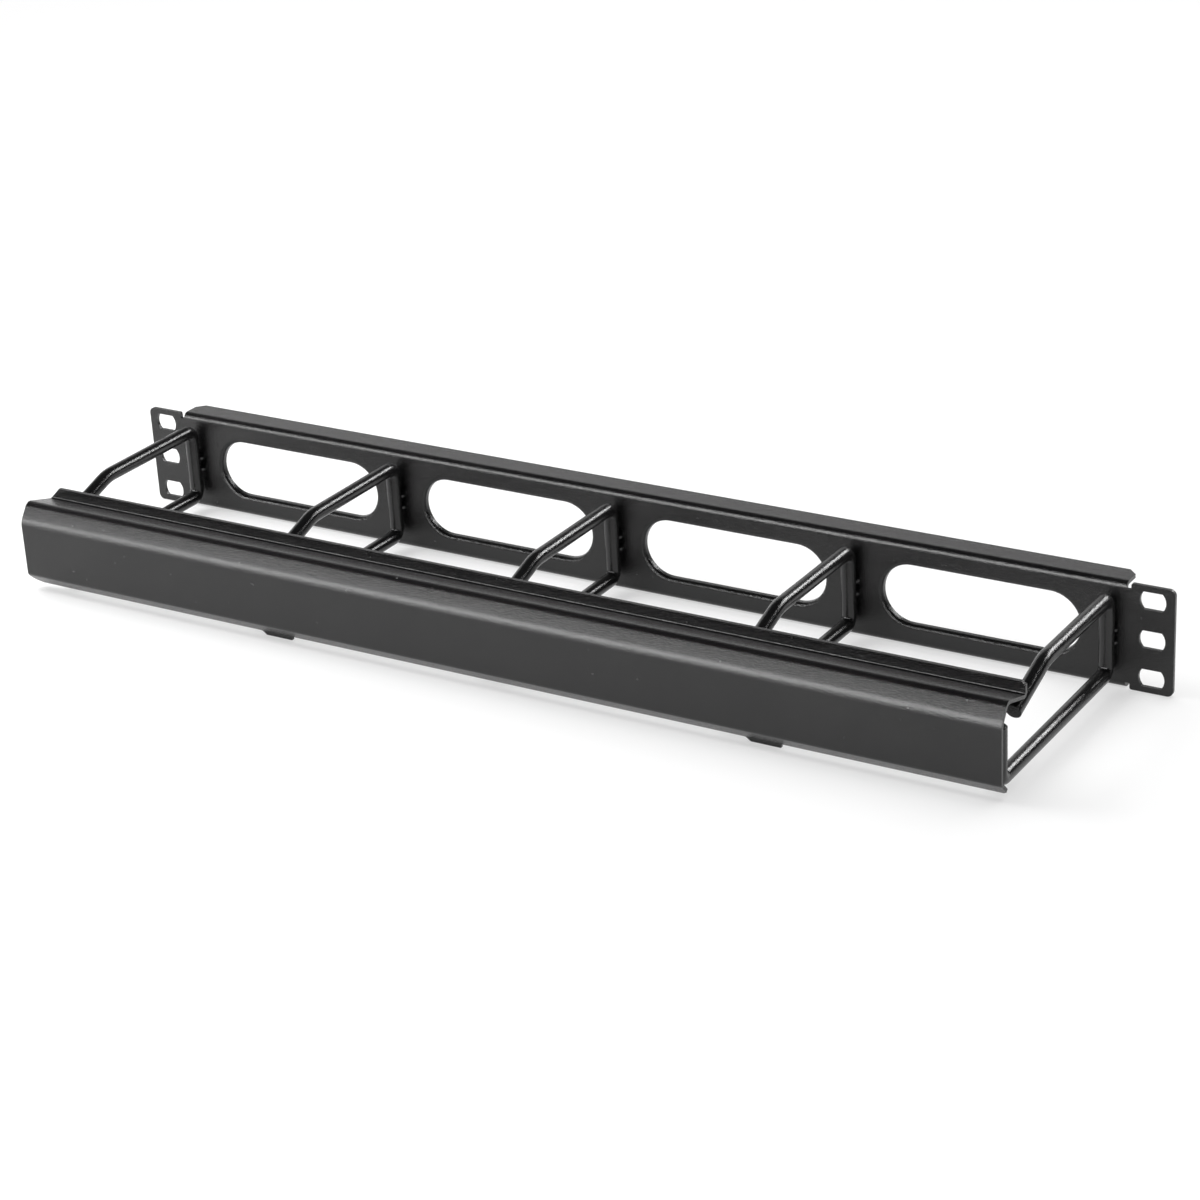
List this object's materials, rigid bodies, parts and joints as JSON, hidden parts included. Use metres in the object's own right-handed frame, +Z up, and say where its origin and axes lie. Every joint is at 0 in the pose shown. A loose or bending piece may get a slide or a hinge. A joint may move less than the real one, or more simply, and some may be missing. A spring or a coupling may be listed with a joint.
{
  "type": "horizontal cable manager",
  "caption": "Rack panel with oblong cable windows, bent wire cable rings welded to its front and a folded clip-on front cover.",
  "frame": {"origin": "centre of the panel on the ears' rear faces, which meet the rack's rails", "axes": "+X along the panel to the right as seen from the front, +Y into the rack, +Z up"},
  "size_m": [0.4826, 0.1169, 0.0436],
  "materials": {
    "powder_coat": "black powder coat, finely textured, satin",
    "wire_powder_coat": "black powder coat on bent wire, satin"
  },
  "bodies": {
    "root": {"back_panel": "powder_coat", "ring_1": "wire_powder_coat", "ring_2": "wire_powder_coat", "ring_3": "wire_powder_coat", "ring_4": "wire_powder_coat", "ring_5": "wire_powder_coat", "ring_1_welds": "wire_powder_coat", "ring_2_welds": "wire_powder_coat", "ring_3_welds": "wire_powder_coat", "ring_4_welds": "wire_powder_coat", "ring_5_welds": "wire_powder_coat"},
    "cover": {"front_cover": "powder_coat"}
  },
  "joints": [
    {"name": "cover_pull", "type": "slide", "parent": "root", "child": "cover", "axis": [0, -1, 0], "range_m": [0, 0.06]}
  ]
}
